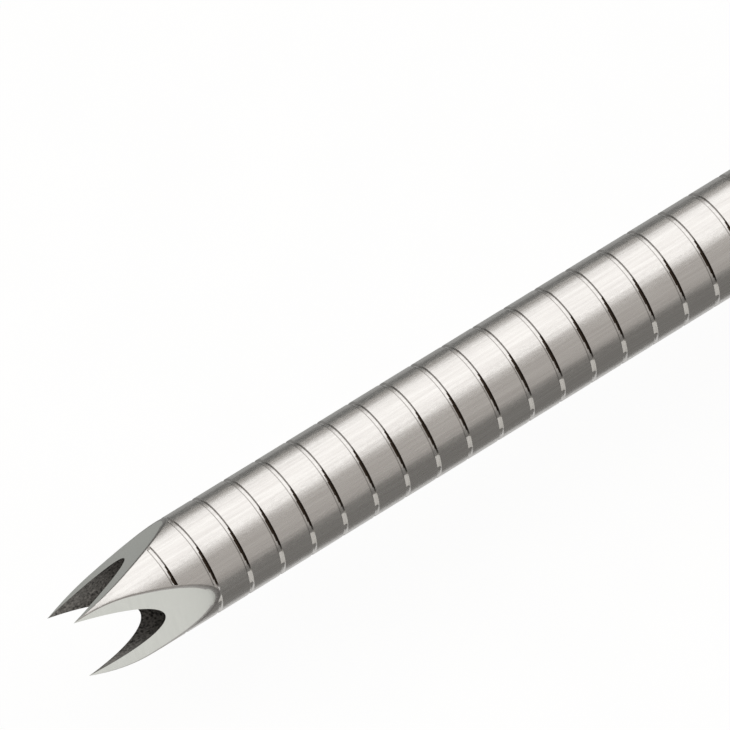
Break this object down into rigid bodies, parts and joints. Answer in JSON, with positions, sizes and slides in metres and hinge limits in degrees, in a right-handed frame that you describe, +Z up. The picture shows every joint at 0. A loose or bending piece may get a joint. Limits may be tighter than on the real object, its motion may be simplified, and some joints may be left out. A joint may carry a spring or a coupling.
{
  "type": "endoscopic ultrasound needle",
  "caption": "Biopsy needle for ultrasound endoscopes: sliding handle, coiled sheath, and a grooved steel cannula with a three-pronged tip and a stylet.",
  "frame": {"origin": "centre of the handle's box in plan, on the surface that the handle lies on", "axes": "+X along the handle from the scope adapter to the stylet cap, +Y toward the sheath's coil, +Z up"},
  "size_m": [0.4528, 0.1787, 0.0336],
  "materials": {
    "white_abs": "fine spark texture",
    "blue_abs": "fine spark texture",
    "black_abs": "semi-gloss",
    "clear_polycarbonate": "polished",
    "white_nylon": "smooth moulded",
    "grip_elastomer": "matt",
    "seal_rubber": "smooth",
    "ground_steel": "finely brushed round the tube, ground at the tip",
    "drawn_steel": "drawn",
    "nitinol": "polished",
    "screw_steel": "plain",
    "insert_brass": "turned",
    "anchor_resin": "smooth moulded",
    "sheath_ptfe": "waxy extruded"
  },
  "bodies": {
    "grip": {"front_collar": "blue_abs", "lock_insert": "insert_brass", "adjuster_seal": "seal_rubber", "handle_shell_left": "white_abs", "handle_shell_right": "white_abs", "shell_screws": "screw_steel", "grip_sleeve": "grip_elastomer", "sheath_anchor": "anchor_resin", "sheath_handle": "sheath_ptfe", "guide_hypotube": "drawn_steel", "needle_rail": "white_nylon", "rail_end_plug": "blue_abs", "sheath_lead": "sheath_ptfe", "sheath_coil": "sheath_ptfe", "sheath_tail": "sheath_ptfe", "sheath_distal": "sheath_ptfe"},
    "adapter": {"adapter_hub": "white_abs", "adapter_tube": "white_nylon"},
    "luer_collar": {"luer_collar": "white_nylon"},
    "sheath_lock_screw": {"sheath_lock_screw": "white_nylon"},
    "stop_ring": {"stop_ring": "blue_abs", "stop_insert": "insert_brass"},
    "stop_screw": {"stop_screw": "white_nylon"},
    "plunger": {"plunger_sleeve": "white_abs", "wiper_seal": "seal_rubber", "plunger_flange": "blue_abs", "needle_hub": "black_abs", "gauge_band": "black_abs", "luer_port": "clear_polycarbonate", "needle_proximal": "drawn_steel"},
    "stylet": {"stylet_cap": "black_abs", "stylet_rod": "nitinol"},
    "needle_tip": {"needle_cannula": "ground_steel"},
    "stylet_tip": {"stylet_tip": "nitinol"}
  },
  "joints": [
    {"name": "needle_advance", "type": "slide", "parent": "grip", "child": "plunger", "axis": [-1, 0, 0], "range_m": [-0.02, 0.06]},
    {"name": "needle_tip_slide", "type": "slide", "parent": "grip", "child": "needle_tip", "axis": [1, 0, 0], "range_m": [-0.02, 0.06]},
    {"name": "adapter_slide", "type": "slide", "parent": "grip", "child": "adapter", "axis": [1, 0, 0], "range_m": [0, 0.04]},
    {"name": "luer_collar_turn", "type": "hinge", "parent": "adapter", "child": "luer_collar", "pos_m": [-0.185, 0, 0.015], "axis": [1, 0, 0], "continuous": true},
    {"name": "sheath_lock_turn", "type": "hinge", "parent": "grip", "child": "sheath_lock_screw", "pos_m": [-0.11635, 0, 0.03], "axis": [0, 0, 1], "range_deg": [0, 360]},
    {"name": "stop_slide", "type": "slide", "parent": "grip", "child": "stop_ring", "axis": [1, 0, 0], "range_m": [0, 0.012]},
    {"name": "stop_lock_turn", "type": "hinge", "parent": "stop_ring", "child": "stop_screw", "pos_m": [-0.03435, 0, 0.03], "axis": [0, 0, 1], "range_deg": [0, 360]},
    {"name": "stylet_pull", "type": "slide", "parent": "plunger", "child": "stylet", "axis": [1, 0, 0], "range_m": [-0.01, 0.04]},
    {"name": "stylet_tip_slide", "type": "slide", "parent": "needle_tip", "child": "stylet_tip", "axis": [-1, 0, 0], "range_m": [-0.01, 0.04]}
  ],
  "couplings": [
    {"joint": "needle_tip_slide", "follows": "needle_advance", "ratio": 1},
    {"joint": "stylet_tip_slide", "follows": "stylet_pull", "ratio": 1}
  ]
}
